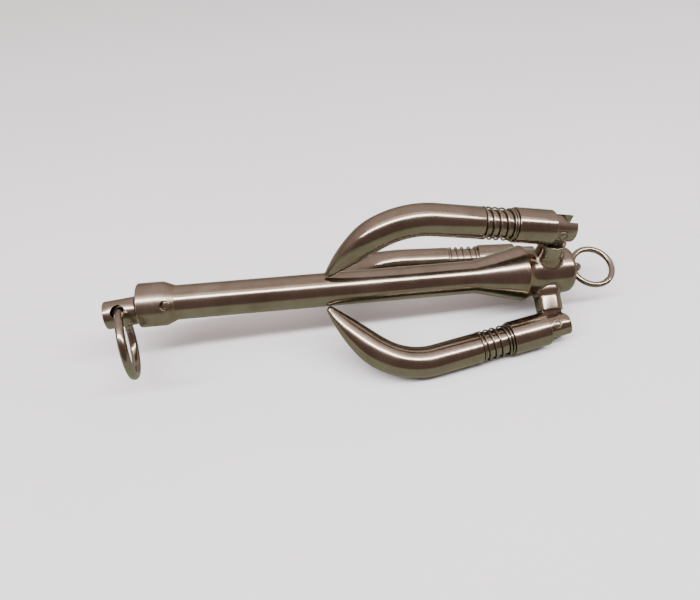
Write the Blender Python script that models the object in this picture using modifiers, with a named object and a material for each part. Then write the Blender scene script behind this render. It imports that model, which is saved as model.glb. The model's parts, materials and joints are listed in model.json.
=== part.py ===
"""Folding grapnel anchor: three hinged flukes, each with a spring-loaded locking sleeve.

Every shape is laid out in the shank's own frame: +X runs along the shank from the rode
end to the crown, and a fluke's plane holds X and the direction straight out from it.
An empty then lays the folded anchor on the ground, on two of its flukes.
"""
import math

import bmesh
import bpy
from mathutils import Matrix, Vector

MM = 0.001
GAP = 0.3 * MM
# A cutter of this length passes right through any bar or plate here.
THROUGH = 40 * MM

# Shank: a tube between the collar and the crown.
SHANK_RADIUS = 15 * MM
SHANK_BORE = 11.5 * MM
SHANK_START = 48 * MM
SHANK_END = 323 * MM

# Collar: holds the swivel at the rode end.
COLLAR_FACE = 28 * MM
COLLAR_SHOULDER = 49.5 * MM
COLLAR_END = 57.5 * MM
COLLAR_RADIUS = 19 * MM
COLLAR_WEB_END = 36 * MM
COLLAR_WEB_BORE = 8.8 * MM
COLLAR_CHAMBER = 14.2 * MM
COLLAR_PIN_X = 52.5 * MM
COLLAR_PIN_RADIUS = 3.6 * MM
COLLAR_PIN_TURN = -50

# Swivel: a round bar with a cross hole, on a stem that droops a little in the collar.
DROOP = 5.8
DROOP_TURN = 224.5
SWIVEL_CENTRE = 62 * MM
EYE_RADIUS = 12 * MM
EYE_LENGTH = 26.3 * MM
EYE_HOLE_X = 12.6 * MM
EYE_HOLE_RADIUS = 6 * MM
EYE_HOLE_TURN = -37.5
STEM_RADIUS = 5 * MM
STEM_END = 55 * MM
WASHER_START = 37.6 * MM
WASHER_THICKNESS = 1.6 * MM
WASHER_RADIUS = 11.2 * MM
NUT_HEIGHT = 7.6 * MM
NUT_FLATS = 16 * MM
COTTER_RADIUS = 1 * MM
COTTER_LENGTH = 17 * MM

# Rings: one for the rode, one for the trip line.
RODE_RING_RADIUS = 28 * MM
RODE_WIRE_RADIUS = 3.5 * MM
RODE_RING_SLACK = 1.6 * MM
RODE_RING_LEAN = 2
RODE_RING_ROCK = -5.5
TRIP_RING_RADIUS = 19.3 * MM
TRIP_WIRE_RADIUS = 2.75 * MM
TRIP_RING_SWING = 1
TRIP_RING_TURN = 74
TRIP_EYE_WIRE = 2.25 * MM
TRIP_EYE_BORE = 5 * MM
TRIP_EYE_LEG = 3 * MM
TRIP_HINGE_RISE = 4.8 * MM

# Crown: a reducing cone welded to a solid hub that carries the three hinge posts.
CONE_END = 368 * MM
CONE_RADIUS = 26 * MM
CONE_WALL = 3.6 * MM
HUB_START = 361.5 * MM
HUB_END = 416 * MM
HUB_RADIUS = 21.5 * MM
HUB_ROUND = 5 * MM

# Hinges: measured out from the shank's axis.
HINGE_X = 390.5 * MM
HINGE_OUT = 53 * MM
POST_SEAT = 17 * MM
POST_RADIUS = 12 * MM
POST_FLARE = 14.5 * MM
POST_SHOULDER = 38.5 * MM
TONGUE_THICKNESS = 10 * MM
TONGUE_HALF_WIDTH = 9 * MM
TONGUE_ROUND = 10.5 * MM
PIN_RADIUS = 4.5 * MM
PIN_HALF_LENGTH = 11.9 * MM

# Flukes: a straight run from the hinge, a bend, and a tapered tip that lies on the shank.
FLUKE_TURNS = (0, 120, 240)
FLUKE_SPREAD = 9.6
FLUKE_RADIUS = 13.8 * MM
NECK_RADIUS = 12 * MM
NECK_LENGTH = 73.5 * MM
STRAIGHT_LENGTH = 114.5 * MM
BEND_RADIUS = 67 * MM
BEND_ANGLE = 54.8
TIP_BEND_RADIUS = 328 * MM
# The tip run's chord is steeper than its start by this angle.
TIP_SAG = 4.2
TIP_RADIUS = 3.5 * MM
TAPER_LENGTH = 60 * MM
TAPER_POWER = 1.85
FORK_END = 13.6 * MM
SLOT_DEPTH = 15.5 * MM
SLOT_WIDTH = 10.6 * MM

# Locking sleeve and its spring, on the fluke's neck.
SLEEVE_FRONT = 7.3 * MM
SLEEVE_LENGTH = 36.2 * MM
SLEEVE_BORE = 12.3 * MM
SLEEVE_RADIUS = 15.3 * MM
SLEEVE_CHAMFER = 1.4 * MM
SPRING_WIRE_RADIUS = 0.85 * MM
SPRING_COIL_RADIUS = 13.35 * MM
SPRING_TURNS = 6

PARTS = "folding_grapnel_anchor"
CUTTERS = "cutters"


def clear_scene():
    """Remove whatever the file holds."""
    for thing in list(bpy.data.objects):
        bpy.data.objects.remove(thing, do_unlink=True)


def collection(name):
    """Make a collection in the scene."""
    group = bpy.data.collections.new(name)
    bpy.context.scene.collection.children.link(group)
    return group


def steel(name, colour, roughness):
    """Make a metallic material for one sub-part."""
    material = bpy.data.materials.new(name + "_steel")
    material.use_nodes = True
    shader = material.node_tree.nodes["Principled BSDF"]
    shader.inputs["Base Color"].default_value = (*colour, 1.0)
    shader.inputs["Metallic"].default_value = 1.0
    shader.inputs["Roughness"].default_value = roughness
    return material


POLISHED = (0.56, 0.51, 0.49)
SATIN = (0.47, 0.44, 0.42)
DARK = (0.33, 0.31, 0.30)


def finish_part(thing, parent, colour, roughness, place=None):
    """Put a solid under its parent, with a material of its own."""
    thing.data.materials.clear()
    thing.data.materials.append(steel(thing.name, colour, roughness))
    thing.parent = parent
    if place is not None:
        thing.matrix_local = place
    return thing


def new_object(name, mesh, group):
    """Link a mesh as a named object in one collection."""
    thing = bpy.data.objects.new(name, mesh)
    bpy.data.collections[group].objects.link(thing)
    return thing


def axis_frame(name, parent, place):
    """Make an empty that carries a joint's axis or a plane."""
    empty = bpy.data.objects.new(name, None)
    empty.empty_display_size = 0.02
    bpy.data.collections[PARTS].objects.link(empty)
    empty.parent = parent
    empty.matrix_local = place
    return empty


def at(x=0.0, y=0.0, z=0.0):
    """Shorthand for a move."""
    return Matrix.Translation((x, y, z))


def turn(axis, degrees):
    """Shorthand for a rotation about a named axis."""
    return Matrix.Rotation(math.radians(degrees), 4, axis)


# A turned piece is drawn along Z; this lays it along its parent's X.
ALONG_X = turn("Y", 90)


def arc(centre, radius, start, end, steps):
    """Points of an arc as (along, out), in degrees from the +along direction."""
    points = []
    for i in range(steps + 1):
        angle = math.radians(start + (end - start) * i / steps)
        points.append((centre[0] + radius * math.cos(angle), centre[1] + radius * math.sin(angle)))
    return points


def turned(name, outline, hollow=False, steps=48, group=PARTS):
    """Spin an outline of (along, radius) points about Z into one closed solid.

    The outline runs up the outside. A hollow one comes back along the bore.
    """
    points = [Vector((radius, 0, along)) for along, radius in reversed(outline)]
    mesh = bpy.data.meshes.new(name)
    edges = [(i, i + 1) for i in range(len(points) - 1)]
    if hollow:
        edges.append((len(points) - 1, 0))
    mesh.from_pydata(points, edges, [])
    thing = new_object(name, mesh, group)
    screw = thing.modifiers.new("Spin", "SCREW")
    screw.axis = "Z"
    screw.steps = steps
    screw.render_steps = steps
    screw.use_merge_vertices = True
    screw.merge_threshold = 0.00001
    screw.use_smooth_shade = True
    return thing


def baked(thing):
    """Swap an object's curve or modifiers for the mesh they make."""
    evaluated = thing.evaluated_get(bpy.context.evaluated_depsgraph_get())
    mesh = bpy.data.meshes.new_from_object(evaluated)
    welded = bmesh.new()
    welded.from_mesh(mesh)
    bmesh.ops.remove_doubles(welded, verts=welded.verts, dist=0.000005)
    bmesh.ops.recalc_face_normals(welded, faces=welded.faces)
    welded.to_mesh(mesh)
    welded.free()
    name = thing.name
    group = thing.users_collection[0].name
    place = thing.matrix_world.copy()
    bpy.data.objects.remove(thing, do_unlink=True)
    solid = new_object(name, mesh, group)
    solid.matrix_world = place
    return solid


def rod(name, points, radii, sides, group=PARTS):
    """Sweep a round section of changing radius along points, as a closed mesh."""
    curve = bpy.data.curves.new(name, "CURVE")
    curve.dimensions = "3D"
    curve.bevel_depth = 1.0
    curve.bevel_resolution = (sides - 4) // 2
    curve.use_fill_caps = True
    spline = curve.splines.new("POLY")
    spline.points.add(len(points) - 1)
    for spot, point, radius in zip(spline.points, points, radii):
        spot.co = (*point, 1.0)
        spot.radius = radius
    return baked(new_object(name, curve, group))


def plate(name, outline, thickness, group=CUTTERS):
    """A flat outline of (x, y) points with a thickness along Z, as a closed mesh."""
    curve = bpy.data.curves.new(name, "CURVE")
    curve.dimensions = "2D"
    curve.fill_mode = "BOTH"
    curve.extrude = thickness / 2
    spline = curve.splines.new("POLY")
    spline.points.add(len(outline) - 1)
    for spot, (x, y) in zip(spline.points, outline):
        spot.co = (x, y, 0.0, 1.0)
    spline.use_cyclic_u = True
    return baked(new_object(name, curve, group))


def cylinder(name, radius, length, sides=40, group=CUTTERS):
    """A plain cylinder about Z, centred on its origin."""
    mesh = bpy.data.meshes.new(name)
    made = bmesh.new()
    bmesh.ops.create_cone(
        made, cap_ends=True, segments=sides, radius1=radius, radius2=radius, depth=length)
    made.to_mesh(mesh)
    made.free()
    return new_object(name, mesh, group)


def boolean(thing, other, operation):
    """Add or remove another closed mesh, which stays as a cutter."""
    step = thing.modifiers.new(other.name, "BOOLEAN")
    step.operation = operation
    step.object = other
    step.solver = "EXACT"
    other.hide_render = True
    other.display_type = "WIRE"


def under(cutter, parent, place):
    """Place a cutter in its parent's frame."""
    cutter.parent = parent
    cutter.matrix_local = place
    return cutter


def chamfer(thing, width, segments=2, angle=35):
    """Round the sharp edges of a solid."""
    bevel = thing.modifiers.new("Chamfer", "BEVEL")
    bevel.width = width
    bevel.segments = segments
    bevel.limit_method = "ANGLE"
    bevel.angle_limit = math.radians(angle)
    return thing


def shank(root):
    """The tube that joins the collar to the crown."""
    tube = turned("shank_tube", [
        (SHANK_START, SHANK_BORE), (SHANK_START, SHANK_RADIUS),
        (SHANK_END, SHANK_RADIUS), (SHANK_END, SHANK_BORE)], hollow=True)
    finish_part(tube, root, POLISHED, 0.16, ALONG_X)
    hole = cylinder("shank_pin_hole", COLLAR_PIN_RADIUS + GAP, 12 * MM)
    under(hole, root, turn("X", -COLLAR_PIN_TURN) @ at(COLLAR_PIN_X, 0, SHANK_RADIUS))
    boolean(tube, hole, "DIFFERENCE")


def collar(root):
    """The turned collar on the end of the tube, with the web that the swivel pulls on."""
    edge = 1.2 * MM
    socket = SHANK_RADIUS + GAP
    ring = turned("collar", [
        (COLLAR_FACE, COLLAR_WEB_BORE), (COLLAR_FACE, COLLAR_RADIUS - edge),
        (COLLAR_FACE + edge, COLLAR_RADIUS), (COLLAR_SHOULDER, COLLAR_RADIUS),
        (COLLAR_SHOULDER + 1 * MM, COLLAR_RADIUS - 0.3 * MM),
        (COLLAR_END, SHANK_RADIUS + 0.9 * MM), (COLLAR_END, socket),
        (SHANK_START - GAP, socket), (SHANK_START - GAP, COLLAR_CHAMBER),
        (COLLAR_WEB_END, COLLAR_CHAMBER), (COLLAR_WEB_END, COLLAR_WEB_BORE)], hollow=True)
    finish_part(ring, root, POLISHED, 0.22, ALONG_X)
    spoke = turn("X", -COLLAR_PIN_TURN)
    hole = cylinder("collar_pin_hole", COLLAR_PIN_RADIUS + GAP, 12 * MM)
    under(hole, root, spoke @ at(COLLAR_PIN_X, 0, SHANK_RADIUS + 2 * MM))
    boolean(ring, hole, "DIFFERENCE")

    length = 5 * MM
    pin = cylinder("collar_pin", COLLAR_PIN_RADIUS, length, 24, PARTS)
    finish_part(pin, root, SATIN, 0.3, spoke @ at(COLLAR_PIN_X, 0, SHANK_BORE + GAP + length / 2))
    chamfer(pin, 0.5 * MM)


def droop_frame():
    """The swivel's axis: X towards the crown, Z along the eye's cross hole."""
    droop = math.radians(DROOP)
    low = math.radians(DROOP_TURN)
    sag = Vector((0, math.sin(low), math.cos(low)))
    along = Vector((math.cos(droop), 0, 0)) - sag * math.sin(droop)
    facing = math.radians(EYE_HOLE_TURN)
    hole = Vector((0, math.sin(facing), math.cos(facing)))
    hole = (hole - along * hole.dot(along)).normalized()
    side = hole.cross(along)
    frame = Matrix((along, side, hole)).transposed().to_4x4()
    return at(SWIVEL_CENTRE) @ frame


def swivel(root):
    """The eye with its stem, and the washer, nut and split pin that keep it in the collar."""
    axis = axis_frame("swivel_axis", root, droop_frame())
    lay = ALONG_X
    shift = -SWIVEL_CENTRE
    edge = 0.9 * MM
    eye = turned("swivel_eye", [
        (shift, 0), (shift, EYE_RADIUS - edge), (shift + edge, EYE_RADIUS),
        (shift + EYE_LENGTH - edge, EYE_RADIUS), (shift + EYE_LENGTH, EYE_RADIUS - edge),
        (shift + EYE_LENGTH, STEM_RADIUS), (shift + STEM_END - edge, STEM_RADIUS),
        (shift + STEM_END, STEM_RADIUS - edge), (shift + STEM_END, 0)])
    finish_part(eye, axis, POLISHED, 0.2, lay)
    hole = under(cylinder("eye_hole", EYE_HOLE_RADIUS, THROUGH, 36), axis, at(shift + EYE_HOLE_X))
    boolean(eye, hole, "DIFFERENCE")
    cotter_x = shift + WASHER_START + WASHER_THICKNESS + 2 * GAP + NUT_HEIGHT + 2.2 * MM
    cotter_hole = cylinder("cotter_hole", COTTER_RADIUS + GAP, THROUGH, 16)
    boolean(eye, under(cotter_hole, axis, at(cotter_x)), "DIFFERENCE")

    start = shift + WASHER_START
    washer = turned("swivel_washer", [
        (start, STEM_RADIUS + GAP), (start, WASHER_RADIUS),
        (start + WASHER_THICKNESS, WASHER_RADIUS),
        (start + WASHER_THICKNESS, STEM_RADIUS + GAP)], hollow=True, steps=32)
    finish_part(washer, axis, SATIN, 0.35, lay)

    nut = cylinder("swivel_nut", NUT_FLATS / math.sqrt(3), NUT_HEIGHT, 6, PARTS)
    nut_x = start + WASHER_THICKNESS + GAP + NUT_HEIGHT / 2
    finish_part(nut, axis, SATIN, 0.35, at(nut_x) @ lay)
    bore = under(cylinder("nut_bore", STEM_RADIUS + GAP, THROUGH, 32), axis, at(nut_x) @ lay)
    boolean(nut, bore, "DIFFERENCE")

    cotter = cylinder("swivel_split_pin", COTTER_RADIUS, COTTER_LENGTH, 12, PARTS)
    finish_part(cotter, axis, DARK, 0.4, at(cotter_x))
    return axis


def ring(name, frame, radius, wire, offset, rock):
    """A round ring whose wire passes the joint axis, the frame's Z, rocked about the frame's X."""
    bpy.ops.mesh.primitive_torus_add(
        major_radius=radius, minor_radius=wire, major_segments=48, minor_segments=12)
    loop = bpy.context.object
    loop.name = name
    for owner in list(loop.users_collection):
        owner.objects.unlink(loop)
    bpy.data.collections[PARTS].objects.link(loop)
    # The torus lies in the XY plane, so it is stood up on the frame's Z and pushed out along X.
    loop.data.transform(at(radius - offset) @ turn("X", 90))
    return finish_part(loop, frame, POLISHED, 0.2, turn("X", rock))


def rode_ring(swivel_axis):
    """The ring in the swivel eye; its frame's X points where the ring hangs."""
    place = at(EYE_HOLE_X - SWIVEL_CENTRE) @ turn("Z", -90 + RODE_RING_LEAN)
    frame = axis_frame("rode_ring_axis", swivel_axis, place)
    ring("rode_ring", frame, RODE_RING_RADIUS, RODE_WIRE_RADIUS, RODE_RING_SLACK, RODE_RING_ROCK)


def trip_ring(root):
    """The eye on the crown's end and the ring in it."""
    spoke = turn("X", -TRIP_RING_TURN)
    middle = TRIP_EYE_BORE + TRIP_EYE_WIRE
    route = [(HUB_END + GAP, -middle), (HUB_END + TRIP_EYE_LEG, -middle)]
    route += [(HUB_END + TRIP_EYE_LEG + x, y) for x, y in arc((0, 0), middle, -75, 75, 10)]
    route += [(HUB_END + TRIP_EYE_LEG, middle), (HUB_END + GAP, middle)]
    points = [(x, y, 0.0) for x, y in route]
    eye = rod("trip_eye", points, [TRIP_EYE_WIRE] * len(points), 12)
    finish_part(eye, root, POLISHED, 0.25, spoke)

    frame = axis_frame("trip_ring_axis", root, spoke @ at(HUB_END + TRIP_HINGE_RISE))
    swung = axis_frame("trip_ring_rest", frame, turn("Z", -TRIP_RING_SWING))
    ring("trip_ring", swung, TRIP_RING_RADIUS, TRIP_WIRE_RADIUS, 0, 0)


def crown(root):
    """The hollow cone and the solid hub."""
    socket = HUB_RADIUS + GAP
    lip = 0.6 * MM
    slope = (CONE_RADIUS - SHANK_RADIUS) / (CONE_END - SHANK_END)
    bore_end = HUB_START - GAP
    wide_bore = SHANK_RADIUS + slope * (bore_end - SHANK_END) - CONE_WALL
    cone = turned("crown_cone", [
        (SHANK_END + GAP, SHANK_BORE), (SHANK_END + GAP, SHANK_RADIUS),
        (CONE_END - lip, CONE_RADIUS), (CONE_END, CONE_RADIUS - lip), (CONE_END, socket),
        (bore_end, socket), (bore_end, wide_bore)], hollow=True)
    finish_part(cone, root, POLISHED, 0.16, ALONG_X)

    edge = 0.8 * MM
    hub = turned("crown_hub", [
        (HUB_START, 0), (HUB_START, HUB_RADIUS - edge), (HUB_START + edge, HUB_RADIUS)]
        + arc((HUB_END - HUB_ROUND, HUB_RADIUS - HUB_ROUND), HUB_ROUND, 90, 0, 6)
        + [(HUB_END, 0)], steps=60)
    finish_part(hub, root, POLISHED, 0.2, ALONG_X)
    return hub


def tongue_outline():
    """The tongue in its fluke's plane, as (x, out) about the hinge."""
    base = POST_SHOULDER - 3 * MM - HINGE_OUT
    shoulder = math.degrees(math.acos(TONGUE_HALF_WIDTH / TONGUE_ROUND))
    top = arc((0, 0), TONGUE_ROUND, -shoulder, 180 + shoulder, 28)
    return [(-TONGUE_HALF_WIDTH, base), (TONGUE_HALF_WIDTH, base)] + top


def post(number, plane, hub):
    """The hinge post on the hub, with the flat tongue that the fluke's fork straddles."""
    hinge = at(HINGE_X, 0, HINGE_OUT)
    name = f"hinge_post_{number}"
    edge = 0.8 * MM
    body = turned(name, [
        (POST_SEAT + GAP, 0), (POST_SEAT + GAP, POST_FLARE), (POST_SEAT + 4 * MM, POST_FLARE),
        (POST_SEAT + 6 * MM, POST_RADIUS + 1.3 * MM), (POST_SEAT + 9 * MM, POST_RADIUS + 0.4 * MM),
        (POST_SEAT + 12 * MM, POST_RADIUS), (POST_SHOULDER - edge, POST_RADIUS),
        (POST_SHOULDER, POST_RADIUS - edge), (POST_SHOULDER, 0)], steps=36)
    finish_part(body, plane, POLISHED, 0.2, at(HINGE_X))
    tongue = plate(f"tongue_{number}", tongue_outline(), TONGUE_THICKNESS)
    boolean(body, under(tongue, plane, hinge @ turn("X", 90)), "UNION")
    hole = cylinder(f"tongue_hole_{number}", PIN_RADIUS + GAP, THROUGH, 28)
    boolean(body, under(hole, plane, hinge @ turn("X", 90)), "DIFFERENCE")

    seat = cylinder(f"post_seat_{number}", POST_FLARE + GAP, 20 * MM, 48)
    boolean(hub, under(seat, plane, at(HINGE_X, 0, POST_SEAT + 10 * MM)), "DIFFERENCE")


def fluke_path():
    """Centre line from fork to tip as (along, out) in the hinge frame, with its length."""
    points = [(FORK_END, 0.0), (-NECK_LENGTH, 0.0), (-NECK_LENGTH - 0.8 * MM, 0.0),
              (-STRAIGHT_LENGTH, 0.0)]
    steps = 11
    centre = (-STRAIGHT_LENGTH, -BEND_RADIUS)
    points += arc(centre, BEND_RADIUS, 90, 90 + BEND_ANGLE, steps)[1:]

    # The tip run sinks until the tip's end just clears the shank.
    heading = math.radians(BEND_ANGLE - FLUKE_SPREAD)
    x, out = points[-1]
    spread = math.radians(FLUKE_SPREAD)
    height = HINGE_OUT - x * math.sin(spread) + out * math.cos(spread)
    sink = height - SHANK_RADIUS - TIP_RADIUS - 0.4 * MM
    length = sink / math.sin(heading + math.radians(TIP_SAG))
    local = math.radians(BEND_ANGLE)
    pieces = 9
    for _ in range(pieces):
        local += length / pieces / TIP_BEND_RADIUS
        x -= math.cos(local) * length / pieces
        out -= math.sin(local) * length / pieces
        points.append((x, out))
    return points, local


def fluke_radii(points):
    """Section radius at each point: fork and neck, body, then the taper."""
    walked = [0.0]
    for a, b in zip(points, points[1:]):
        walked.append(walked[-1] + math.dist(a, b))
    radii = []
    for (x, _), done in zip(points, walked):
        if x >= -NECK_LENGTH:
            radii.append(NECK_RADIUS)
            continue
        share = max(0.0, 1 - (walked[-1] - done) / TAPER_LENGTH)
        radii.append(TIP_RADIUS + (FLUKE_RADIUS - TIP_RADIUS) * (1 - share ** TAPER_POWER))
    return radii


def fluke(number, hinge):
    """The fluke, its fork cut for the tongue and rounded to clear the post."""
    points, heading = fluke_path()
    radii = fluke_radii(points)
    # A blunt nose closes the tip.
    x, out = points[-1]
    for share in (0.45, 0.8, 0.97):
        reach = TIP_RADIUS * share
        points.append((x - math.cos(heading) * reach, out - math.sin(heading) * reach))
        radii.append(TIP_RADIUS * math.sqrt(1 - share ** 2))
    bar = rod(f"fluke_{number}", [(x, 0.0, out) for x, out in points], radii, 28)
    finish_part(bar, hinge, POLISHED, 0.16, Matrix())

    far = 20 * MM
    mouth = [(-SLOT_DEPTH, -far), (far, -far), (far, far), (-SLOT_DEPTH, far)]
    slot = plate(f"fork_slot_{number}", mouth, SLOT_WIDTH)
    boolean(bar, under(slot, hinge, turn("X", 90)), "DIFFERENCE")
    # The corner of the fork next to the hub swings past the post's shoulder.
    corner = [(far, 0.0), (FORK_END, 0.0)] + arc((0, 0), FORK_END, -5, -80, 10)
    corner += [(0.0, -far), (far, -far)]
    corner_cut = plate(f"fork_corner_{number}", corner, THROUGH)
    boolean(bar, under(corner_cut, hinge, turn("X", 90)), "DIFFERENCE")
    hole = cylinder(f"fork_hole_{number}", PIN_RADIUS + GAP, THROUGH, 28)
    boolean(bar, under(hole, hinge, turn("X", 90)), "DIFFERENCE")

    pin = cylinder(f"hinge_pin_{number}", PIN_RADIUS, 2 * PIN_HALF_LENGTH, 28, PARTS)
    finish_part(pin, hinge, SATIN, 0.3, turn("X", 90))
    chamfer(pin, 0.5 * MM)


def sleeve(number, hinge):
    """The sleeve that slides over the hinge and locks the fluke open."""
    back = -SLEEVE_FRONT - SLEEVE_LENGTH
    front = -SLEEVE_FRONT
    tube = turned(f"locking_sleeve_{number}", [
        (back, SLEEVE_BORE), (back, SLEEVE_RADIUS - SLEEVE_CHAMFER / 2),
        (back + SLEEVE_CHAMFER / 2, SLEEVE_RADIUS),
        (front - SLEEVE_CHAMFER, SLEEVE_RADIUS), (front, SLEEVE_RADIUS - SLEEVE_CHAMFER),
        (front, SLEEVE_BORE)], hollow=True, steps=44)
    finish_part(tube, hinge, POLISHED, 0.18, ALONG_X)


def spring(number, hinge):
    """The coil spring between the fluke's shoulder and the sleeve."""
    start = -NECK_LENGTH + GAP + SPRING_WIRE_RADIUS
    end = -SLEEVE_FRONT - SLEEVE_LENGTH - GAP - SPRING_WIRE_RADIUS
    closed = 2.2 * SPRING_WIRE_RADIUS
    around = 14
    points = []
    for i in range(SPRING_TURNS * around + 1):
        turns = i / around
        # The end turns lie close, and the working turns between them share the length.
        open_turns = min(max(turns - 1, 0.0), SPRING_TURNS - 2)
        end_turns = turns - open_turns
        pitch = (end - start - 2 * closed) / (SPRING_TURNS - 2)
        angle = 2 * math.pi * turns
        points.append((
            start + open_turns * pitch + end_turns * closed,
            SPRING_COIL_RADIUS * math.cos(angle), SPRING_COIL_RADIUS * math.sin(angle)))
    coil = rod(f"sleeve_spring_{number}", points, [SPRING_WIRE_RADIUS] * len(points), 8)
    finish_part(coil, hinge, SATIN, 0.3, Matrix())


def lie_angle():
    """How far the crown drops when two flukes and their sleeves rest on flat ground."""
    spread = math.radians(FLUKE_SPREAD)
    bend = Vector((HINGE_X - STRAIGHT_LENGTH * math.cos(spread),
                   HINGE_OUT + STRAIGHT_LENGTH * math.sin(spread)))
    heel_along = SLEEVE_FRONT + SLEEVE_CHAMFER
    heel = Vector((HINGE_X - heel_along * math.cos(spread), HINGE_OUT + heel_along * math.sin(spread)))
    # Both lower flukes stand 30 degrees below level, so half of their reach points down.
    bend_drop = bend.y / 2 + FLUKE_RADIUS
    heel_drop = heel.y / 2 + SLEEVE_RADIUS
    return math.degrees(math.atan2(bend_drop - heel_drop, heel.x - bend.x))


def set_down(root):
    """Move the whole anchor so that the middle of its footprint is the origin."""
    bpy.context.view_layer.update()
    graph = bpy.context.evaluated_depsgraph_get()
    spots = []
    for thing in bpy.data.collections[PARTS].objects:
        if thing.type != "MESH":
            continue
        solid = thing.evaluated_get(graph)
        spots += [solid.matrix_world @ corner.co for corner in solid.data.vertices]
    low = Vector([min(spot[i] for spot in spots) for i in range(3)])
    high = Vector([max(spot[i] for spot in spots) for i in range(3)])
    root.matrix_world = at(-(low.x + high.x) / 2, -(low.y + high.y) / 2, -low.z) @ root.matrix_world
    bpy.context.view_layer.update()


def main():
    clear_scene()
    collection(PARTS)
    collection(CUTTERS)
    root = axis_frame("anchor_frame", None, turn("Y", lie_angle()))
    shank(root)
    collar(root)
    rode_ring(swivel(root))
    hub = crown(root)
    trip_ring(root)
    for number, degrees in enumerate(FLUKE_TURNS, 1):
        plane = axis_frame(f"fluke_plane_{number}", root, turn("X", -degrees))
        post(number, plane, hub)
        place = at(HINGE_X, 0, HINGE_OUT) @ turn("Y", FLUKE_SPREAD)
        hinge = axis_frame(f"fluke_hinge_{number}", plane, place)
        fluke(number, hinge)
        sleeve(number, hinge)
        spring(number, hinge)
    set_down(root)


main()
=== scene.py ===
"""Folding grapnel anchor in polished stainless steel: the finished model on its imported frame.

Shapes are laid out along the shank: +X runs from the rode end to the crown, and each
fluke has its own frame at its hinge pin, with the folded bar running along -X.
"""
import json
import math

import bmesh
import bpy
from mathutils import Matrix, Vector


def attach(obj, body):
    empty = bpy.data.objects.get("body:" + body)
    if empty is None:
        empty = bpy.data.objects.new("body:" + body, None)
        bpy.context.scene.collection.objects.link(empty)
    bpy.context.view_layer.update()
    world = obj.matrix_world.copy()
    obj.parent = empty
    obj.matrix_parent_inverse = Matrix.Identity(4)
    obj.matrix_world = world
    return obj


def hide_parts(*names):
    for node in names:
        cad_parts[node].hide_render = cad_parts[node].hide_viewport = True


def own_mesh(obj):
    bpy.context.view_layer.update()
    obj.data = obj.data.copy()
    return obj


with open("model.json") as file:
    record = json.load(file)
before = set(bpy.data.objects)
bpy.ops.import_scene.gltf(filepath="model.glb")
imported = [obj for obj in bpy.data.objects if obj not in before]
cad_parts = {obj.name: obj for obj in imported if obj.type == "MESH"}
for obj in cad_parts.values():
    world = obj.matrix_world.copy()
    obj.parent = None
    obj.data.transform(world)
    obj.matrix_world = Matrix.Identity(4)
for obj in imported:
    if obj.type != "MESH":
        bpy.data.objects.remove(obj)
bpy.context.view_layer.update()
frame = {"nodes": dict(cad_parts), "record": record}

MM = 0.001
FULL_TURN = 2 * math.pi
# Steps round a large turned part, and the slack that merges a spin's own seam.
ROUND_STEPS = 144
SEAM = 0.001 * MM
# A cutter of this length passes right through any bar here.
THROUGH = 40 * MM

# Shank, collar and swivel.
SHANK_RADIUS = 15 * MM
SHANK_BORE = 11.5 * MM
SHANK_START = 48 * MM
SHANK_END = 323 * MM
COLLAR_FACE = 28 * MM
COLLAR_SHOULDER = 49.5 * MM
COLLAR_END = 57.5 * MM
COLLAR_RADIUS = 19 * MM
COLLAR_WEB_END = 36 * MM
COLLAR_WEB_BORE = 8.8 * MM
COLLAR_CHAMBER = 14.2 * MM
COLLAR_PIN_X = 52.5 * MM
COLLAR_PIN_RADIUS = 3.6 * MM
COLLAR_PIN_TURN = -50
EYE_RADIUS = 12 * MM
EYE_LENGTH = 26.3 * MM
EYE_HOLE_X = 12.6 * MM
EYE_HOLE_RADIUS = 6 * MM
SWIVEL_CENTRE = 62 * MM
STEM_RADIUS = 5 * MM
STEM_END = 55 * MM

# Rings.
RODE_RING_RADIUS = 28 * MM
RODE_WIRE = 3.5 * MM
RODE_SLACK = 1.6 * MM
RODE_LEAN = 2
RODE_ROCK = -5.5
TRIP_RING_RADIUS = 19.3 * MM
TRIP_WIRE = 2.75 * MM
TRIP_SWING = 1
TRIP_EYE_WIRE = 2.25 * MM
TRIP_EYE_BORE = 5 * MM
TRIP_EYE_LEG = 3 * MM

# Crown.
CONE_END = 368 * MM
CONE_RADIUS = 26 * MM
CONE_WALL = 3.6 * MM
HUB_START = 361.5 * MM
HUB_END = 416 * MM
HUB_RADIUS = 21.5 * MM
HUB_ROUND = 5 * MM

# Hinges, flukes, sleeves and springs.
HINGE_X = 390.5 * MM
HINGE_OUT = 53 * MM
POST_RADIUS = 12 * MM
POST_SHOULDER = 38.5 * MM
POST_WELD_LEG = 4.2 * MM
TONGUE_THICKNESS = 10 * MM
TONGUE_HALF_WIDTH = 9 * MM
TONGUE_ROUND = 10.5 * MM
PIN_RADIUS = 4.5 * MM
PIN_HOLE = 4.8 * MM
PIN_HALF_LENGTH = 11.9 * MM
FLUKE_COUNT = 3
FLUKE_SPREAD = 9.6
FLUKE_RADIUS = 13.8 * MM
NECK_RADIUS = 12 * MM
NECK_LENGTH = 73.5 * MM
STRAIGHT_LENGTH = 114.5 * MM
BEND_RADIUS = 67 * MM
BEND_ANGLE = 54.8
TIP_BEND_RADIUS = 328 * MM
TIP_SAG = 4.2
TIP_RADIUS = 3.5 * MM
TIP_GAP = 0.4 * MM
TAPER_LENGTH = 60 * MM
TAPER_POWER = 1.85
FORK_END = 13.6 * MM
SLOT_DEPTH = 15.5 * MM
SLOT_WIDTH = 10.6 * MM
SLEEVE_FRONT = 7.3 * MM
SLEEVE_LENGTH = 36.2 * MM
SLEEVE_BORE = 12.3 * MM
SLEEVE_RADIUS = 15.3 * MM
SPRING_WIRE = 0.85 * MM
SPRING_COIL = 13.35 * MM
SPRING_TURNS = 6
SPRING_START_TURN = 200
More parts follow.
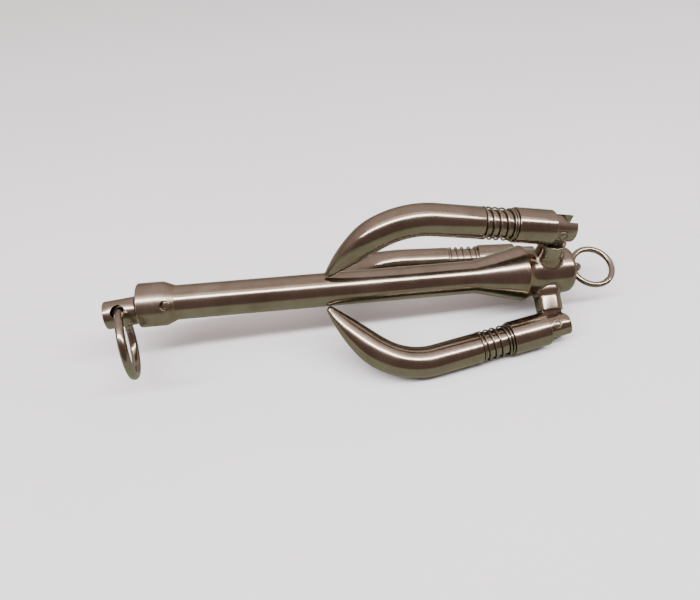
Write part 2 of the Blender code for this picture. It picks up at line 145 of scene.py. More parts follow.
# Turn counts against the share of the spring's length that they have reached.
SPRING_MARKS = ((0, 0.0), (0.8, 0.02), (1.8, 0.22), (2.8, 0.44), (3.6, 0.62), (4.4, 0.86),
                (5.2, 0.97), (SPRING_TURNS, 1.0))


def at(x=0.0, y=0.0, z=0.0):
    """A move."""
    return Matrix.Translation((x, y, z))


def turn(axis, degrees):
    """A turn about one axis."""
    return Matrix.Rotation(math.radians(degrees), 4, axis)


def axes(origin, along, up):
    """A frame with X along one direction and Z as near as can be to another."""
    along = along.normalized()
    side = up.cross(along).normalized()
    made = Matrix((along, side, along.cross(side))).transposed().to_4x4()
    made.translation = origin
    return made


# Frames: the shank's, each hinge's, the swivel's and the two rings', all from the joints.
joints = {joint["name"]: joint for joint in frame["record"]["behaviour"]["joints"]}


def joint_place(name):
    """A joint's point and direction."""
    return Vector(joints[name]["pos_m"]), Vector(joints[name]["axis"])


pins = [joint_place(f"fluke_{number}_swing")[0] for number in range(1, FLUKE_COUNT + 1)]
crown_middle = sum(pins, Vector()) / FLUKE_COUNT
shank_line = (pins[1] - pins[0]).cross(pins[2] - pins[0]).normalized()
shank_line *= math.copysign(1, shank_line.x)
ANCHOR = axes(crown_middle, shank_line, pins[0] - crown_middle) @ at(-HINGE_X)
PLANES = [ANCHOR @ turn("X", -120 * number) for number in range(FLUKE_COUNT)]
HINGES = [plane @ at(HINGE_X, 0, HINGE_OUT) @ turn("Y", FLUKE_SPREAD) for plane in PLANES]
swivel_spot, swivel_line = joint_place("swivel_spin")
rode_spot, rode_line = joint_place("rode_ring_swing")
trip_spot, trip_line = joint_place("trip_ring_swing")
SWIVEL = axes(swivel_spot, swivel_line, rode_line) @ at(-SWIVEL_CENTRE)
RODE = axes(rode_spot, swivel_line, rode_line) @ turn("Z", -90 + RODE_LEAN) @ turn("X", RODE_ROCK)
TRIP = axes(trip_spot, shank_line, trip_line) @ turn("Z", -TRIP_SWING)
TRIP_EYE = axes(ANCHOR @ Vector((HUB_END, 0, 0)), shank_line, trip_line)

# Camera, about half a metre from the folded anchor: in front, above, towards its rode end.
CAMERA_SPOT = (151.2 * MM, -368.1 * MM, 387.3 * MM)
CAMERA_LOOK = (0.1451, 0.6696, -0.7285)
CAMERA_UP = (0.0868, 0.7248, 0.6835)
CAMERA_LENS = 30.88
CAMERA_SHIFT = (-0.0343, -0.0066)


def camera():
    """The camera, placed in the shank's frame."""
    look = ANCHOR.to_3x3() @ Vector(CAMERA_LOOK)
    up = ANCHOR.to_3x3() @ Vector(CAMERA_UP)
    right = look.cross(up).normalized()
    made = bpy.data.objects.new("camera", bpy.data.cameras.new("camera"))
    made.matrix_world = Matrix((right, right.cross(look), -look)).transposed().to_4x4()
    made.location = ANCHOR @ Vector(CAMERA_SPOT)
    made.data.sensor_width = 36
    made.data.lens = CAMERA_LENS
    made.data.shift_x, made.data.shift_y = CAMERA_SHIFT
    made.data.clip_start = 0.01
    bpy.context.scene.collection.objects.link(made)
    bpy.context.scene.camera = made


camera()


# Shaping tools.
def arc(centre, radius, start, end, steps):
    """Points on an arc, in degrees from the first axis."""
    for step in range(steps + 1):
        angle = math.radians(start + (end - start) * step / steps)
        yield centre[0] + radius * math.cos(angle), centre[1] + radius * math.sin(angle)


def eased(profile, steps=5):
    """A profile of (x, out) or (x, out, round) points, with the rounds put in."""
    made = []
    for index, spot in enumerate(profile):
        here = Vector(spot[:2])
        if len(spot) == 2 or index in (0, len(profile) - 1):
            made.append(tuple(here))
            continue
        back = (Vector(profile[index - 1][:2]) - here).normalized() * spot[2]
        ahead = (Vector(profile[index + 1][:2]) - here).normalized() * spot[2]
        for step in range(steps + 1):
            share = step / steps
            made.append(tuple(here + back * (1 - share) ** 2 + ahead * share ** 2))
    return made


def lathe(profile, place, steps=112, hollow=False):
    """Spin a profile about the place's X."""
    shape = bmesh.new()
    spots = [shape.verts.new((x, 0, out)) for x, out in profile]
    edges = [shape.edges.new(pair) for pair in zip(spots, spots[1:])]
    if hollow:
        edges.append(shape.edges.new((spots[-1], spots[0])))
    bmesh.ops.spin(shape, geom=spots + edges, cent=(0, 0, 0), axis=(1, 0, 0),
                   angle=FULL_TURN, steps=steps, use_merge=True)
    bmesh.ops.remove_doubles(shape, verts=shape.verts, dist=SEAM)
    bmesh.ops.transform(shape, matrix=place, verts=shape.verts)
    return shape


def sweep(path, radii, up, place, sides=32, closed=False):
    """Carry a circle of changing radius along a path; up is a direction across it."""
    stations = []
    spots = [Vector(point) for point in path]
    for index, (spot, radius) in enumerate(zip(spots, radii)):
        before = spots[index - 1] if index else (spots[-2] if closed else spot)
        last = index == len(spots) - 1
        after = (spots[1] if closed else spot) if last else spots[index + 1]
        stations.append(axes(spot, after - before, up) @ turn("Y", 90)
                        @ Matrix.Scale(radius, 4))
    shape = bmesh.new()
    bmesh.ops.create_circle(shape, segments=sides, radius=1, matrix=stations[0])
    edges = list(shape.edges)
    for before, after in zip(stations, stations[1:]):
        made = bmesh.ops.extrude_edge_only(shape, edges=edges)["geom"]
        spots = [item for item in made if isinstance(item, bmesh.types.BMVert)]
        edges = [item for item in made
                 if isinstance(item, bmesh.types.BMEdge) and item.is_boundary]
        bmesh.ops.transform(shape, matrix=after @ before.inverted(), verts=spots)
    if closed:
        bmesh.ops.remove_doubles(shape, verts=shape.verts, dist=SEAM)
    else:
        bmesh.ops.holes_fill(shape, edges=shape.edges)
    bmesh.ops.transform(shape, matrix=place, verts=shape.verts)
    return shape


def hoop(radius, wire, place, steps=112, sides=32):
    """A wire ring about the place's Y, which passes through the place's origin."""
    shape = bmesh.new()
    bmesh.ops.create_circle(shape, segments=sides, radius=wire, matrix=at(-radius))
    bmesh.ops.spin(shape, geom=shape.verts[:] + shape.edges[:], cent=(0, 0, 0),
                   axis=(0, 1, 0), angle=FULL_TURN, steps=steps, use_merge=True)
    bmesh.ops.remove_doubles(shape, verts=shape.verts, dist=SEAM)
    bmesh.ops.transform(shape, matrix=place @ at(radius), verts=shape.verts)
    return shape


def block(low, high, place):
    """A cuboid between two corners."""
    shape = bmesh.new()
    middle = (Vector(low) + Vector(high)) / 2
    size = Vector(high) - Vector(low)
    bmesh.ops.create_cube(shape, size=1, matrix=place @ at(*middle) @ Matrix.Diagonal((*size, 1)))
    return shape


def drum(radius, length, place, segments=72):
    """A cylinder about the place's Y, used for cutting."""
    shape = bmesh.new()
    bmesh.ops.create_cone(shape, cap_ends=True, segments=segments, radius1=radius,
                          radius2=radius, depth=length, matrix=place @ turn("X", 90))
    return shape


def as_mesh(shape, name="working"):
    """Write a shape out as a mesh and let go of it."""
    bmesh.ops.recalc_face_normals(shape, faces=shape.faces)
    mesh = bpy.data.meshes.new(name)
    shape.to_mesh(mesh)
    shape.free()
    return mesh


def joined(*shapes):
    """Several shapes in one."""
    whole = bmesh.new()
    for shape in shapes:
        mesh = as_mesh(shape)
        whole.from_mesh(mesh)
        bpy.data.meshes.remove(mesh)
    return whole


def combined(shape, others, operation="DIFFERENCE"):
    """Cut shapes out of a solid, or weld them to it."""
    for other in others:
        work = bpy.data.objects.new("work", as_mesh(shape))
        tool = bpy.data.objects.new("tool", as_mesh(other))
        for thing in (work, tool):
            bpy.context.scene.collection.objects.link(thing)
        step = work.modifiers.new("cut", "BOOLEAN")
        step.operation = operation
        step.solver = "EXACT"
        step.object = tool
        graph = bpy.context.evaluated_depsgraph_get()
        result = bpy.data.meshes.new_from_object(work.evaluated_get(graph))
        shape = bmesh.new()
        shape.from_mesh(result)
        for thing in (work, tool):
            spare = thing.data
            bpy.data.objects.remove(thing)
            bpy.data.meshes.remove(spare)
        bpy.data.meshes.remove(result)
    bmesh.ops.remove_doubles(shape, verts=shape.verts, dist=0.005 * MM)
    return shape


def eased_edges(shape, width, sharp=30, segments=2):
    """Round the sharp edges of a cut solid."""
    edges = [edge for edge in shape.edges
             if len(edge.link_faces) == 2 and edge.calc_face_angle(0) > math.radians(sharp)]
    bmesh.ops.bevel(shape, geom=edges, offset=width, segments=segments, affect="EDGES",
                    profile=0.5, material=-1, clamp_overlap=True)
    return shape


def piece(name, body, finish, shape, *nodes, slot=None, crease=40):
    """Make a shape a finished piece that rides a body and stands for its CAD nodes."""
    mesh = as_mesh(shape, name)
    for face in mesh.polygons:
        face.use_smooth = True
    mesh.set_sharp_from_angle(angle=math.radians(crease))
    mesh.materials.append(finish)
    made = bpy.data.objects.new(name, mesh)
    bpy.context.scene.collection.objects.link(made)
    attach(made, body)
    if nodes:
        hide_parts(*nodes)
    return made


# Shader tools.
class Level:
    """A shader value that takes part in sums."""

    def __init__(self, paint, socket):
        self.paint = paint
        self.socket = socket

    def sum(self, operation, first, second):
        return self.paint.node("ShaderNodeMath", {"operation": operation}, (first, second))

    def __add__(self, other):
        return self.sum("ADD", self, other)

    def __sub__(self, other):
        return self.sum("SUBTRACT", self, other)

    def __rsub__(self, other):
        return self.sum("SUBTRACT", other, self)

    def __mul__(self, other):
        return self.sum("MULTIPLY", self, other)

    def __pow__(self, other):
        return self.sum("POWER", self, other)

    __radd__ = __add__
    __rmul__ = __mul__


class Paint:
    """One material and the nodes in it."""

    def __init__(self, name):
        self.material = bpy.data.materials.new(name)
        self.material.use_nodes = True
        self.tree = self.material.node_tree
        self.shader = self.tree.nodes["Principled BSDF"]

    def feed(self, socket, value):
        if isinstance(value, Level):
            self.tree.links.new(value.socket, socket)
        elif value is not None:
            socket.default_value = value

    def node(self, kind, settings=None, values=(), output=0, stops=()):
        """Any node: its settings first, then the values or links of its sockets."""
        made = self.tree.nodes.new(kind)
        for key, value in (settings or {}).items():
            setattr(made, key, value)
        if stops:
            ramp = made.color_ramp
            while len(ramp.elements) < len(stops):
                ramp.elements.new(0.5)
            for element, (spot, colour) in zip(ramp.elements, stops):
                element.position = spot
                element.color = (*colour, 1)
        pairs = values.items() if isinstance(values, dict) else enumerate(values)
        for key, value in pairs:
            self.feed(made.inputs[key], value)
        return Level(self, made.outputs[output])

    def local(self, place):
        """Position in a frame, in metres."""
        spot = self.node("ShaderNodeTexCoord", output="Object")
        return self.node("ShaderNodeMapping", {"vector_type": "TEXTURE"}, {
            "Vector": spot, "Location": place.translation, "Rotation": place.to_euler()})

    def stretched(self, spot, scale):
        """Position scaled by a different amount along each axis."""
        return self.node("ShaderNodeVectorMath", {"operation": "MULTIPLY"}, (spot, scale))

    def noise(self, spot, scale, detail=3.0, rough=0.55):
        return self.node("ShaderNodeTexNoise", {}, {
            "Vector": spot, "Scale": scale, "Detail": detail, "Roughness": rough})

    def ramp(self, level, stops):
        return self.node("ShaderNodeValToRGB", {}, (level,), stops=stops)

    def between(self, level, low, high, out_low=0.0, out_high=1.0):
        return self.node("ShaderNodeMapRange", {"interpolation_type": "SMOOTHSTEP"}, {
            "Value": level, "From Min": low, "From Max": high,
            "To Min": out_low, "To Max": out_high})

    def mixed(self, share, first, second):
        values = {0: share, 6: first, 7: second}
        return self.node("ShaderNodeMix", {"data_type": "RGBA"}, values, 2)

    def parts(self, spot):
        """The three parts of a position."""
        split = self.tree.nodes.new("ShaderNodeSeparateXYZ")
        self.feed(split.inputs[0], spot)
        return [Level(self, output) for output in split.outputs]

    def finish(self, **values):
        for key, value in values.items():
            self.feed(self.shader.inputs[key.replace("_", " ").title()], value)
        return self.material


WARM_STEEL = (0.29, 0.25, 0.205)
PALE_STEEL = (0.35, 0.31, 0.26)
DUSKY_STEEL = (0.23, 0.19, 0.15)
TINTS = ((0.28, DUSKY_STEEL), (0.52, WARM_STEEL), (0.78, PALE_STEEL))
HEAT_TINT = (0.23, 0.14, 0.08)
WELD_GREY = (0.20, 0.17, 0.155)


def steel(name, place, grain, rough=0.17, spread=0.08, depth=0.05, tints=TINTS, heat=()):
    """Polished steel: grain is how fine the buffing lines are along and across the piece.

    Heat lists (x, width) places where a weld has left its tint.
    """
    paint = Paint(name)
    spot = paint.local(place)
    cloud = paint.noise(spot, 38.0, 4.0)
    fine = paint.noise(paint.stretched(spot, grain), 1.0, 2.0)
    smear = paint.noise(paint.stretched(spot, [part * 0.12 for part in grain]), 1.0, 3.0)
    colour = paint.ramp(cloud * 0.7 + fine * 0.3, tints)
    along = paint.parts(spot)[0]
    roughness = rough + (smear - 0.5) * spread * 1.6 + (cloud - 0.5) * spread
    for x, width in heat:
        near = paint.between((along - x) ** 2.0, (width * 0.15) ** 2, width ** 2, 1.0, 0.0)
        near = near * (0.05 + cloud * 0.5)
        colour = paint.mixed(near, colour, (*HEAT_TINT, 1))
        roughness = roughness + near * 0.14
    bump = paint.node("ShaderNodeBump", {}, {
        "Strength": depth, "Distance": 0.12 * MM, "Height": fine * 0.6 + smear * 0.4})
    return paint.finish(base_color=colour, metallic=1.0, roughness=roughness, normal=bump)


def weld(name, place):
    """The rippled, half-dull skin of a weld bead."""
    paint = Paint(name)
    spot = paint.local(place)
    ripple = paint.noise(spot, 620.0, 2.0)
    lump = paint.noise(spot, 190.0, 3.0)
    colour = paint.ramp(lump, ((0.3, WELD_GREY), (0.55, DUSKY_STEEL), (0.75, WARM_STEEL)))
    colour = paint.mixed(paint.between(ripple, 0.55, 0.75), colour, (*HEAT_TINT, 1))
    bump = paint.node("ShaderNodeBump", {}, {
        "Strength": 0.5, "Distance": 0.5 * MM, "Height": lump * 0.7 + ripple * 0.3})
    return paint.finish(base_color=colour, metallic=1.0, roughness=0.2 + ripple * 0.2, normal=bump)


TURNED = (2600, 60, 60)
DRAWN = (70, 900, 900)
BUFFED = (420, 420, 420)

tube_steel = steel("polished_tube", ANCHOR, DRAWN, 0.175, 0.07)
collar_steel = steel("turned_collar", ANCHOR, TURNED, 0.25, 0.05, 0.04,
                     heat=((COLLAR_END, 5 * MM),))
crown_steel = steel("buffed_crown", ANCHOR, BUFFED, 0.18, 0.08, 0.05,
                    heat=((CONE_END + 1.5 * MM, 6 * MM),))
swivel_steel = steel("turned_swivel", SWIVEL, TURNED, 0.2, 0.05, 0.04)
rode_steel = steel("ring_wire", RODE, BUFFED, 0.2, 0.1)
trip_steel = steel("trip_wire", TRIP, BUFFED, 0.2, 0.1)
bead_steel = weld("weld_bead", ANCHOR)
plain_steel = steel("plain_fastener", SWIVEL, BUFFED, 0.36, 0.1, 0.1)


# Shank: the tube, its collar and the pin that fixes them.
def shank():
    tube = lathe([(SHANK_START, SHANK_BORE), (SHANK_START, SHANK_RADIUS),
                  (SHANK_END + 1 * MM, SHANK_RADIUS), (SHANK_END + 1 * MM, SHANK_BORE)],
                 ANCHOR, ROUND_STEPS, hollow=True)
    piece("shank_bar", "shank", tube_steel, tube, "shank_tube")

    socket = SHANK_RADIUS + 0.1 * MM
    outline = eased([
        (COLLAR_FACE, COLLAR_WEB_BORE), (COLLAR_FACE, COLLAR_RADIUS, 1.7 * MM),
        (COLLAR_SHOULDER, COLLAR_RADIUS, 1.6 * MM),
        (COLLAR_END - 1 * MM, SHANK_RADIUS + 1 * MM, 1.2 * MM),
        (COLLAR_END + 1.2 * MM, socket), (SHANK_START - 0.3 * MM, socket),
        (SHANK_START - 0.3 * MM, COLLAR_CHAMBER), (COLLAR_WEB_END, COLLAR_CHAMBER),
        (COLLAR_WEB_END, COLLAR_WEB_BORE)])
    band = lathe(outline, ANCHOR, ROUND_STEPS, hollow=True)
    spoke = ANCHOR @ turn("X", -COLLAR_PIN_TURN) @ at(COLLAR_PIN_X)
    upright = turn("Y", -90)
    dimple = lathe([(14 * MM, 0), (14 * MM, COLLAR_PIN_RADIUS + 0.15 * MM),
                    (16.6 * MM, COLLAR_PIN_RADIUS + 0.2 * MM),
                    (19.5 * MM, COLLAR_PIN_RADIUS + 1.7 * MM), (19.5 * MM, 0)],
                   spoke @ upright, 48)
    piece("shank_collar", "shank", collar_steel, combined(band, [dimple]), "collar")
    stud = lathe(eased([
        (12 * MM, 0), (12 * MM, COLLAR_PIN_RADIUS), (16.4 * MM, COLLAR_PIN_RADIUS, 0.9 * MM),
        (16.9 * MM, 0)]), spoke @ upright, 48)
    piece("collar_stud", "shank", collar_steel, stud, "collar_pin")


def swivel():
    """The drooping eye with its stem; its nut and washer stay hidden in the collar."""
    bar = lathe(eased([
        (0, 0), (0, EYE_RADIUS, 1.2 * MM), (EYE_LENGTH, EYE_RADIUS, 0.8 * MM),
        (EYE_LENGTH, STEM_RADIUS, 0.3 * MM), (STEM_END, STEM_RADIUS, 0.6 * MM), (STEM_END, 0)]),
        SWIVEL, 96)
    across = SWIVEL @ at(EYE_HOLE_X) @ turn("X", 90)
    hole = drum(EYE_HOLE_RADIUS, THROUGH, across)
    eye = eased_edges(combined(bar, [hole]), 0.3 * MM, 50)
    piece("swivel_bar", "swivel", swivel_steel, eye, "swivel_eye")
    for node in ("swivel_washer", "swivel_nut", "swivel_split_pin"):
        kept = frame["nodes"][node]
        kept.data.materials.clear()
        kept.data.materials.append(plain_steel)


def rings():
    """The rode ring, the trip eye on the crown's end and the trip ring."""
    def closed_ring(radius, wire, slack, place, seam_turn):
        """A wire ring with the low bead of its butt weld."""
        seam = place @ at(radius - slack) @ turn("Y", seam_turn) @ at(radius) @ turn("Y", 90)
        proud = wire + 0.16 * MM
        bead = lathe(eased([(-1.5 * MM, wire * 0.9), (-0.9 * MM, proud, 0.5 * MM),
                            (0.9 * MM, proud, 0.5 * MM), (1.5 * MM, wire * 0.9)]), seam, 32)
        bmesh.ops.holes_fill(bead, edges=bead.edges)
        return joined(hoop(radius, wire, place @ at(-slack)), bead)

    loop = closed_ring(RODE_RING_RADIUS, RODE_WIRE, RODE_SLACK, RODE, 120)
    piece("rode_hoop", "rode_ring", rode_steel, loop, "rode_ring")
    small = closed_ring(TRIP_RING_RADIUS, TRIP_WIRE, 0.0, TRIP, 60)
    piece("trip_hoop", "trip_ring", trip_steel, small, "trip_ring")

    middle = TRIP_EYE_BORE + TRIP_EYE_WIRE
    route = [(-1 * MM, -middle), (TRIP_EYE_LEG, -middle)]
    route += list(arc((TRIP_EYE_LEG, 0), middle, -82, 82, 28))
    route += [(TRIP_EYE_LEG, middle), (-1 * MM, middle)]
    staple = sweep([(x, y, 0) for x, y in route], [TRIP_EYE_WIRE] * len(route),
                   Vector((0, 0, 1)), TRIP_EYE, 24)
    feet = [lathe(eased([(-0.5 * MM, TRIP_EYE_WIRE + 0.8 * MM),
                         (0.2 * MM, TRIP_EYE_WIRE + 0.5 * MM, 0.3 * MM),
                         (1.2 * MM, TRIP_EYE_WIRE - 0.1 * MM)]),
                  TRIP_EYE @ at(0, side * middle), 28) for side in (-1, 1)]
    for foot in feet:
        bmesh.ops.holes_fill(foot, edges=foot.edges)
    piece("trip_staple", "shank", trip_steel, joined(staple, *feet), "trip_eye")


def crown():
    """The reducing cone, welded to the rounded hub."""
    slope = (CONE_RADIUS - SHANK_RADIUS) / (CONE_END - SHANK_END)
    inner_end = SHANK_RADIUS + slope * (HUB_START - SHANK_END) - CONE_WALL
    socket = HUB_RADIUS + 0.1 * MM
    cone = lathe(eased([
        (SHANK_END, SHANK_BORE), (SHANK_END, SHANK_RADIUS + 0.15 * MM),
        (SHANK_END + 2 * MM, SHANK_RADIUS + 0.5 * MM, 1.5 * MM),
        (CONE_END, CONE_RADIUS, 0.9 * MM), (CONE_END + 6 * MM, HUB_RADIUS + 0.9 * MM, 5 * MM),
        (CONE_END + 14 * MM, socket), (HUB_START - 0.3 * MM, socket),
        (HUB_START - 0.3 * MM, inner_end)]), ANCHOR, ROUND_STEPS, hollow=True)
    piece("crown_reducer", "shank", crown_steel, cone, "crown_cone")
    hub = lathe(eased([
        (HUB_START, 0), (HUB_START, HUB_RADIUS, 0.8 * MM),
        (HUB_END, HUB_RADIUS, HUB_ROUND * 1.3), (HUB_END, 0)], 10), ANCHOR, ROUND_STEPS)
    piece("crown_boss", "shank", crown_steel, hub, "crown_hub")


def tongue(place):
    """The flat, round-ended tongue that the fork straddles, across the hinge's Y."""
    shoulder = math.asin(TONGUE_HALF_WIDTH / TONGUE_ROUND)
    low = POST_SHOULDER - HINGE_OUT - 6 * MM
    shape = bmesh.new()
    start = Matrix.Rotation(-shoulder, 4, "Y") @ Vector((0, 0, -TONGUE_ROUND))
    first = shape.verts.new((TONGUE_HALF_WIDTH, -TONGUE_THICKNESS / 2, start.z))
    bmesh.ops.spin(shape, geom=[first], cent=(0, 0, 0), axis=(0, 1, 0),
                   angle=-(FULL_TURN - 2 * shoulder), steps=44)
    shape.verts.ensure_lookup_table()
    ends = [spot for spot in shape.verts if len(spot.link_edges) == 1]
    feet = [shape.verts.new((end.co.x, end.co.y, low)) for end in ends]
    for end, foot in zip(ends, feet):
        shape.edges.new((end, foot))
    shape.edges.new(feet)
    side = bmesh.ops.contextual_create(shape, geom=shape.edges[:])["faces"]
    made = bmesh.ops.extrude_face_region(shape, geom=side)["geom"]
    spots = [item for item in made if isinstance(item, bmesh.types.BMVert)]
    bmesh.ops.translate(shape, verts=spots, vec=(0, TONGUE_THICKNESS, 0))
    bmesh.ops.recalc_face_normals(shape, faces=shape.faces)
    bmesh.ops.transform(shape, matrix=place, verts=shape.verts)
    return shape


def post(number, plane):
    """A hinge post with its tongue, and the weld bead round its foot."""
    hinge = plane @ at(HINGE_X, 0, HINGE_OUT)
    upright = plane @ at(HINGE_X) @ turn("Y", -90)
    stalk = lathe(eased([
        (17.4 * MM, 0), (17.4 * MM, POST_RADIUS + 2 * MM), (21 * MM, POST_RADIUS + 1.3 * MM),
        (25 * MM, POST_RADIUS, 1.5 * MM), (POST_SHOULDER, POST_RADIUS, 0.8 * MM),
        (POST_SHOULDER, 0)]), upright, 96)
    body = combined(stalk, [tongue(hinge)], "UNION")
    body = combined(body, [drum(PIN_HOLE, 30 * MM, hinge)])
    finish = steel(f"buffed_post_{number}", upright, BUFFED, 0.18, 0.1, 0.08,
                   heat=((21 * MM, 7 * MM),))
    piece(f"hinge_stalk_{number}", "shank", finish, eased_edges(body, 0.35 * MM, 50),
          f"hinge_post_{number}")

    piece(f"post_weld_{number}", "shank", bead_steel, post_weld(number, plane),
          slot="hinge_post")


def post_weld(number, plane):
    """The dressed fillet weld between a post and the round hub."""
    leg, inside = POST_WELD_LEG, 1.5 * MM
    # Each loop round the post is (reach from its axis, height over the hub's skin).
    loops = [(POST_RADIUS + leg - inside, -inside), (POST_RADIUS + leg, -0.15 * MM)]
    loops += [(POST_RADIUS + leg * (1 - math.sin(angle)), leg * (1 - math.cos(angle)))
              for angle in (math.radians(9 * step) for step in range(1, 11))]
    loops += [(POST_RADIUS - inside, leg), (POST_RADIUS - inside, -inside)]
    shape = bmesh.new()
    bmesh.ops.create_circle(shape, segments=120, radius=1)
    ring, edges = shape.verts[:], shape.edges[:]
    rings = [ring]
    for _ in loops[1:]:
        made = bmesh.ops.extrude_edge_only(shape, edges=edges)["geom"]
        ring = [item for item in made if isinstance(item, bmesh.types.BMVert)]
        edges = [item for item in made
                 if isinstance(item, bmesh.types.BMEdge) and item.is_boundary]
        rings.append(ring)
    first = [edge for edge in shape.edges if edge.is_boundary and edge.verts[0] in rings[0]]
    for ring, (reach, height) in zip(rings, loops):
        for spot in ring:
            angle = math.atan2(spot.co.y, spot.co.x)
            wave = 0.012 * math.sin(9 * angle + number) + 0.008 * math.sin(21 * angle)
            far = POST_RADIUS + (reach - POST_RADIUS) * (1 + 6 * wave)
            y = far * math.sin(angle)
            spot.co = (HINGE_X + far * math.cos(angle), y,
                       math.sqrt(HUB_RADIUS ** 2 - y ** 2) + height)
    bmesh.ops.bridge_loops(shape, edges=first + edges)
    bmesh.ops.transform(shape, matrix=plane, verts=shape.verts)
    return shape


def fluke_course():
    """The fluke's centre line as (x, out) with its radius, from the fork to the tip."""
    course = [(FORK_END, NECK_RADIUS - 1.3 * MM), (FORK_END - 0.4 * MM, NECK_RADIUS - 0.5 * MM),
              (FORK_END - 1.3 * MM, NECK_RADIUS), (-NECK_LENGTH, NECK_RADIUS),
              (-NECK_LENGTH - 0.02 * MM, FLUKE_RADIUS - 0.8 * MM),
              (-NECK_LENGTH - 0.25 * MM, FLUKE_RADIUS - 0.25 * MM),
              (-NECK_LENGTH - 0.8 * MM, FLUKE_RADIUS)]
    line = [(x, 0.0) for x, _ in course] + [(-STRAIGHT_LENGTH, 0.0)]
    line += list(arc((-STRAIGHT_LENGTH, -BEND_RADIUS), BEND_RADIUS, 90, 90 + BEND_ANGLE, 40))[1:]
    heading = math.radians(BEND_ANGLE - FLUKE_SPREAD)
    spread = math.radians(FLUKE_SPREAD)
    x, out = line[-1]
    height = HINGE_OUT - x * math.sin(spread) + out * math.cos(spread)
    sink = height - SHANK_RADIUS - TIP_RADIUS - TIP_GAP
    length = sink / math.sin(heading + math.radians(TIP_SAG))
    local, pieces = math.radians(BEND_ANGLE), 36
    for _ in range(pieces):
        local += length / pieces / TIP_BEND_RADIUS
        x -= math.cos(local) * length / pieces
        out -= math.sin(local) * length / pieces
        line.append((x, out))
    walked = [0.0]
    for a, b in zip(line, line[1:]):
        walked.append(walked[-1] + math.dist(a, b))
    radii = [radius for _, radius in course]
    for done in walked[len(course):]:
        share = max(0.0, 1 - (walked[-1] - done) / TAPER_LENGTH)
        radii.append(TIP_RADIUS + (FLUKE_RADIUS - TIP_RADIUS) * (1 - share ** TAPER_POWER))
    # A rounded nose closes the tip.
    for share in (0.25, 0.45, 0.62, 0.76, 0.87, 0.95, 0.99):
        line.append((x - math.cos(local) * TIP_RADIUS * share,
                     out - math.sin(local) * TIP_RADIUS * share))
        radii.append(TIP_RADIUS * math.sqrt(1 - share ** 2))
    return line, radii


def fluke(number, hinge):
    """The hooked fluke with its fork, and the pin through it."""
    line, radii = fluke_course()
    bar = sweep([(x, 0, out) for x, out in line], radii, Vector((0, 1, 0)), hinge, 64)
    far = 20 * MM
    slot = block((-SLOT_DEPTH, -SLOT_WIDTH / 2, -far), (far, SLOT_WIDTH / 2, far), hinge)
    corner = combined(block((0, -far, -far), (far, far, 0), hinge),
                      [drum(FORK_END, 50 * MM, hinge, 96)])
    hole = drum(PIN_HOLE, THROUGH, hinge)
    finish = steel(f"polished_fluke_{number}", hinge, BUFFED, 0.175, 0.08, 0.05)
    bar = combined(bar, [slot, corner, hole])
    piece(f"fluke_bar_{number}", f"fluke_{number}", finish, bar, f"fluke_{number}")

    half = PIN_HALF_LENGTH
    groove = PIN_RADIUS * 0.72
    shaft = lathe(eased([
        (-half - 0.9 * MM, 0), (-half - 0.7 * MM, 1.6 * MM),
        (-half - 0.3 * MM, groove - 0.3 * MM),
        (-half + 0.15 * MM, groove), (-half - 0.15 * MM, groove + 0.3 * MM),
        (-half, PIN_RADIUS, 0.5 * MM), (half, PIN_RADIUS, 0.5 * MM),
        (half + 0.15 * MM, groove + 0.3 * MM), (half - 0.15 * MM, groove),
        (half + 0.3 * MM, groove - 0.3 * MM),
        (half + 0.7 * MM, 1.6 * MM), (half + 0.9 * MM, 0)]),
        hinge @ turn("Z", 90), 48)
    satin = steel(f"pin_end_{number}", hinge, (60, 2600, 60), 0.26, 0.1, 0.1)
    piece(f"fork_pin_{number}", f"fluke_{number}", satin, shaft, f"hinge_pin_{number}")


def sleeve(number, hinge):
    """The sliding sleeve and the spring that holds it forward."""
    back, front = -SLEEVE_FRONT - SLEEVE_LENGTH, -SLEEVE_FRONT
    tube = lathe(eased([
        (back, SLEEVE_BORE), (back, SLEEVE_RADIUS, 0.9 * MM),
        (front - 0.2 * MM, SLEEVE_RADIUS, 1.4 * MM), (front, SLEEVE_BORE, 0.3 * MM),
        (back + 0.01 * MM, SLEEVE_BORE)]), hinge, 112, hollow=True)
    finish = steel(f"turned_sleeve_{number}", hinge, TURNED, 0.175, 0.07, 0.05)
    piece(f"sliding_sleeve_{number}", f"sleeve_{number}", finish, tube,
          f"locking_sleeve_{number}")

    start, end = -NECK_LENGTH + SPRING_WIRE + 0.1 * MM, back - SPRING_WIRE - 0.1 * MM
    span = end - start
    around = 40
    path = []
    for step in range(SPRING_TURNS * around + 1):
        turns = step / around
        for (low, begun), (high, reached) in zip(SPRING_MARKS, SPRING_MARKS[1:]):
            if turns <= high:
                share = begun + (reached - begun) * (turns - low) / (high - low)
                break
        angle = FULL_TURN * turns + math.radians(SPRING_START_TURN)
        path.append((start + span * share, SPRING_COIL * math.cos(angle),
                     SPRING_COIL * math.sin(angle)))
    coil = sweep(path, [SPRING_WIRE] * len(path), Vector((1, 0, 0)), hinge, 12)
    wire = steel(f"spring_wire_{number}", hinge, BUFFED, 0.24, 0.1)
    made = piece(f"spring_coil_{number}", f"fluke_{number}", wire, coil,
                 f"sleeve_spring_{number}")
    hinge @ Vector((-NECK_LENGTH, 0, 0))
    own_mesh(made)


shank()
swivel()
rings()
crown()
for index in range(FLUKE_COUNT):
    post(index + 1, PLANES[index])
    fluke(index + 1, HINGES[index])
    sleeve(index + 1, HINGES[index])


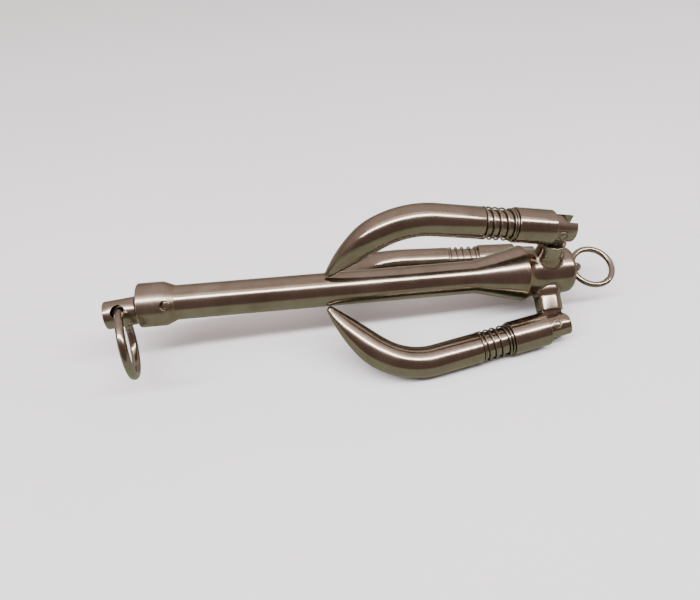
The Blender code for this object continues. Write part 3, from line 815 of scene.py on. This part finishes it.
# Stage: light name, place, size, power and colour.
LIGHTS = (("overhead_strip", (0, -0.42, 1.3), (4.4, 0.14), 60, (1, 0.95, 0.96)),
          ("overhead_glow", (0, -0.3, 1.5), (3.4, 0.8), 12, (1, 0.88, 0.86)))
FLOOR_HALF_SIZE = 9
FLOOR_MIRRORED = (0.215, 0.25, 0.185, 1)
ROOM_PALE = (0.74, 0.75, 0.77, 1)
ROOM_DARK = (0.25, 0.165, 0.145, 1)
ROOM_BRIGHT = (0.98, 0.80, 0.74, 1)


def stage():
    """A pale floor in a pale room, under two soft lights."""
    shape = bmesh.new()
    bmesh.ops.create_grid(shape, x_segments=1, y_segments=1, size=FLOOR_HALF_SIZE)
    ground = bpy.data.objects.new("floor", as_mesh(shape, "floor"))
    bpy.context.scene.collection.objects.link(ground)
    paint = Paint("pale_floor")
    spot = paint.node("ShaderNodeTexCoord", output="Object")
    cloud = paint.noise(spot, 3.0, 3.0)
    colour = paint.ramp(cloud, ((0.3, (0.88, 0.92, 0.96)), (0.7, (0.91, 0.95, 0.99))))
    # The floor stays pale to look at, and dimmer where the steel mirrors it.
    seen = paint.node("ShaderNodeLightPath", output="Is Camera Ray")
    colour = paint.mixed(seen, FLOOR_MIRRORED, colour)
    ground.data.materials.append(paint.finish(base_color=colour, roughness=0.7))

    for name, spot, size, power, tint in LIGHTS:
        lamp = bpy.data.lights.new(name, "AREA")
        lamp.shape = "RECTANGLE"
        lamp.size, lamp.size_y = size
        lamp.energy = power
        lamp.color = tint
        made = bpy.data.objects.new(name, lamp)
        made.location = spot
        made.rotation_euler = (-Vector(spot)).to_track_quat("-Z", "Y").to_euler()
        bpy.context.scene.collection.objects.link(made)

    world = bpy.data.worlds.new("room")
    bpy.context.scene.world = world
    world.use_nodes = True
    tree = world.node_tree
    coords = tree.nodes.new("ShaderNodeTexCoord")
    split = tree.nodes.new("ShaderNodeSeparateXYZ")
    tree.links.new(coords.outputs["Generated"], split.inputs[0])

    def spread(axis, low, high, out_low):
        made = tree.nodes.new("ShaderNodeMapRange")
        made.interpolation_type = "SMOOTHSTEP"
        for key, value in (("From Min", low), ("From Max", high), ("To Min", out_low)):
            made.inputs[key].default_value = value
        tree.links.new(split.outputs[axis], made.inputs["Value"])
        return made.outputs[0]

    both = tree.nodes.new("ShaderNodeMath")
    both.operation = "MULTIPLY"
    ramp = tree.nodes.new("ShaderNodeValToRGB")
    tree.links.new(spread("Y", -0.5, 0.2, 0.0), both.inputs[0])
    tree.links.new(spread("Z", -0.1, 0.8, 0.35), both.inputs[1])
    tree.links.new(both.outputs[0], ramp.inputs[0])
    # The room stays pale to look at too, and graded where the steel mirrors it.
    shown = tree.nodes.new("ShaderNodeMix")
    shown.data_type = "RGBA"
    factor, mirrored, pale = shown.inputs[0], shown.inputs[6], shown.inputs[7]
    pale.default_value = ROOM_PALE
    rays = tree.nodes.new("ShaderNodeLightPath")
    tree.links.new(rays.outputs["Is Camera Ray"], factor)
    tree.links.new(ramp.outputs[0], mirrored)
    tree.links.new(shown.outputs[2], tree.nodes["Background"].inputs["Color"])
    low, high = ramp.color_ramp.elements
    low.position, low.color = 0.0, ROOM_DARK
    high.position, high.color = 1.0, ROOM_BRIGHT


stage()
